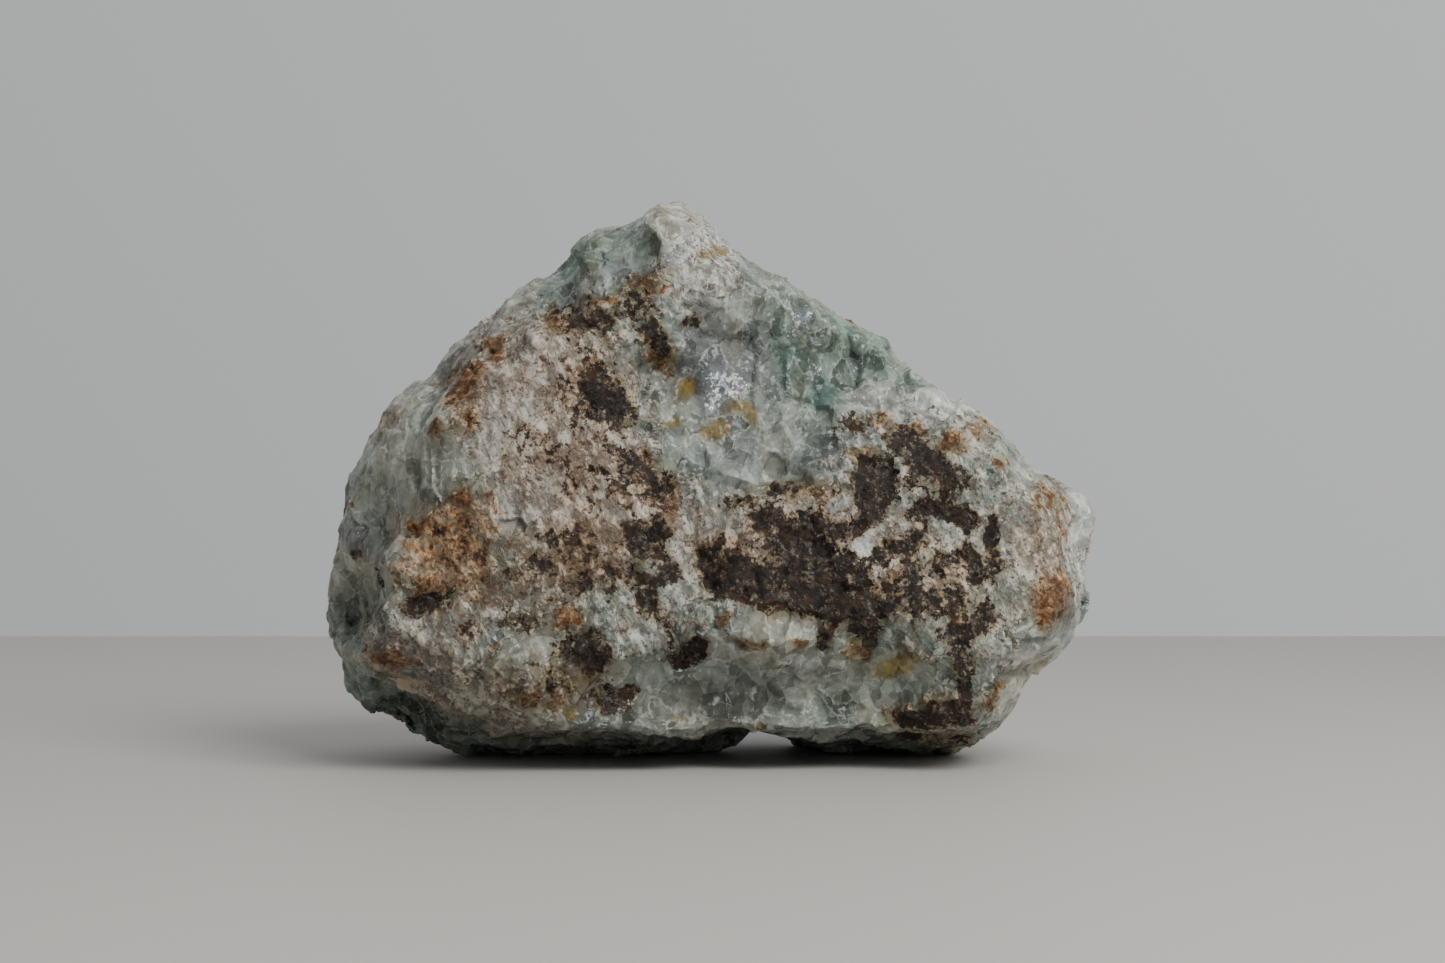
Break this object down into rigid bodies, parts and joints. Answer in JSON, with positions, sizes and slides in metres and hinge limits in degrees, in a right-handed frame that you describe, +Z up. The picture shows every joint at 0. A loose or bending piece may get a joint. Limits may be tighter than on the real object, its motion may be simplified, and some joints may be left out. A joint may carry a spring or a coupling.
{
  "type": "rough fluorite",
  "caption": "Hand-sized lump of rough green fluorite with a rusty quartz crust, broken and unpolished, to stand on a shelf or table as a display stone.",
  "frame": {"origin": "on the surface that the lump rests on, below the middle of its box", "axes": "+X along the lump's greatest length, to the right when its crusted front is seen; +Y away from the crusted front, through its thickness; +Z up"},
  "size_m": [0.165, 0.0896, 0.1193],
  "materials": {
    "rough_fluorite": "broken, part glassy and part sugary, with rusty brown patches"
  },
  "bodies": {
    "root": {"fluorite_lump": "rough_fluorite"}
  },
  "joints": []
}
